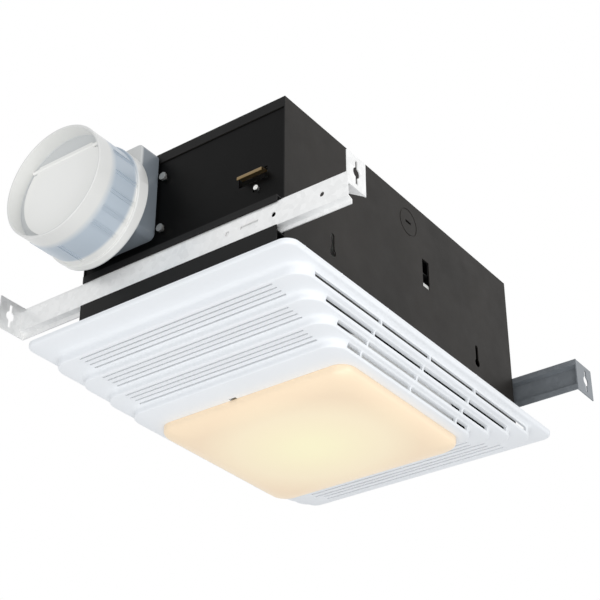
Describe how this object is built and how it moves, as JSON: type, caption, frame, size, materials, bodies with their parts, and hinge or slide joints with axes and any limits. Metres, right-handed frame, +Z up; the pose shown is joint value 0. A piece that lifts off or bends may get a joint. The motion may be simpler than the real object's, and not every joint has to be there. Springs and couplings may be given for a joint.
{
  "type": "bathroom fan with light",
  "caption": "Ceiling bathroom exhaust fan: dark steel joist housing, stepped slotted white grille round a lit cream lens, round duct collar with flap, telescoping hanger bars",
  "frame": {"origin": "centre of the ceiling opening, level with the housing's lower edge", "axes": "+Z up into the ceiling, +X along the housing away from the duct, -Y towards the long side with the keyholes"},
  "size_m": [0.4744, 0.348, 0.215],
  "materials": {
    "dark_steel": "satin dark brown-grey coated steel",
    "rail_steel": "satin black coated steel",
    "galvanised": "bright galvanised steel",
    "duct_plastic": "translucent natural plastic",
    "damper_plastic": "translucent natural plastic",
    "zinc_screw": "zinc plated",
    "copper_clip": "bare bronze",
    "white_plastic": "satin white moulded plastic",
    "lens_plastic": "warm cream lit lens",
    "inner_steel": "galvanised sheet",
    "lamination": "oiled steel laminations",
    "winding": "wrapped coil",
    "rotor_steel": "machined steel",
    "wheel_plastic": "black moulded plastic",
    "box_steel": "galvanised sheet",
    "socket_plastic": "white phenolic",
    "receptacle_plastic": "black phenolic",
    "pan_white": "white enamel",
    "bulb_white": "frosted glass",
    "cap_brass": "plain brass",
    "spring_wire": "spring wire",
    "green_screw": "green zinc"
  },
  "bodies": {
    "housing": {"housing_wrap": "dark_steel", "duct_end_panel": "dark_steel", "far_end_panel": "dark_steel", "duct_end_rail": "rail_steel", "far_end_rail": "rail_steel", "duct_connector": "duct_plastic", "connector_screws": "zinc_screw", "end_screws": "zinc_screw", "lanced_clip": "copper_clip", "blower_plate": "inner_steel", "scroll_wall": "inner_steel", "blower_screws": "zinc_screw", "upper_motor_bridge": "inner_steel", "lower_motor_bridge": "inner_steel", "motor_stator": "lamination", "motor_coil": "winding", "motor_studs": "zinc_screw", "lamp_pan": "pan_white", "pan_posts": "zinc_screw", "socket_bracket": "inner_steel", "lamp_socket": "socket_plastic", "bulb_cap": "cap_brass", "bulb_glass": "bulb_white", "wiring_box": "box_steel", "wiring_cover": "box_steel", "motor_receptacle": "receptacle_plastic", "light_receptacle": "receptacle_plastic", "ground_screw": "green_screw", "spring_brackets": "inner_steel"},
    "blower": {"motor_rotor": "rotor_steel", "blower_wheel": "wheel_plastic", "wheel_clip": "rotor_steel"},
    "damper": {"damper_flap": "damper_plastic"},
    "grille_unit": {"grille": "white_plastic", "grille_springs": "spring_wire"},
    "lens_unit": {"lens": "lens_plastic"},
    "duct_outer_slide": {"duct_end_outer_bar": "galvanised"},
    "duct_inner_slide": {"duct_end_inner_bar": "galvanised"},
    "far_outer_slide": {"far_end_outer_bar": "galvanised"},
    "far_inner_slide": {"far_end_inner_bar": "galvanised"}
  },
  "joints": [
    {"name": "wheel_spin", "type": "hinge", "parent": "housing", "child": "blower", "pos_m": [-0.075, -0.0155, 0.08], "axis": [0, 0, 1], "continuous": true},
    {"name": "damper_swing", "type": "hinge", "parent": "housing", "child": "damper", "pos_m": [-0.247, 0.073, 0.136], "axis": [0, 1, 0], "range_deg": [0, 60]},
    {"name": "grille_drop", "type": "slide", "parent": "housing", "child": "grille_unit", "axis": [0, 0, -1], "range_m": [0, 0.05], "stiffness_N_per_m": 90, "springref_m": -0.09},
    {"name": "lens_swing", "type": "hinge", "parent": "grille_unit", "child": "lens_unit", "pos_m": [0.0997, 0, -0.042], "axis": [0, -1, 0], "range_deg": [0, 90]},
    {"name": "duct_outer_extend", "type": "slide", "parent": "housing", "child": "duct_outer_slide", "axis": [0, -1, 0], "range_m": [-0.03, 0.11]},
    {"name": "duct_inner_extend", "type": "slide", "parent": "housing", "child": "duct_inner_slide", "axis": [0, 1, 0], "range_m": [-0.03, 0.11]},
    {"name": "far_outer_extend", "type": "slide", "parent": "housing", "child": "far_outer_slide", "axis": [0, 1, 0], "range_m": [-0.03, 0.11]},
    {"name": "far_inner_extend", "type": "slide", "parent": "housing", "child": "far_inner_slide", "axis": [0, -1, 0], "range_m": [-0.03, 0.11]}
  ]
}
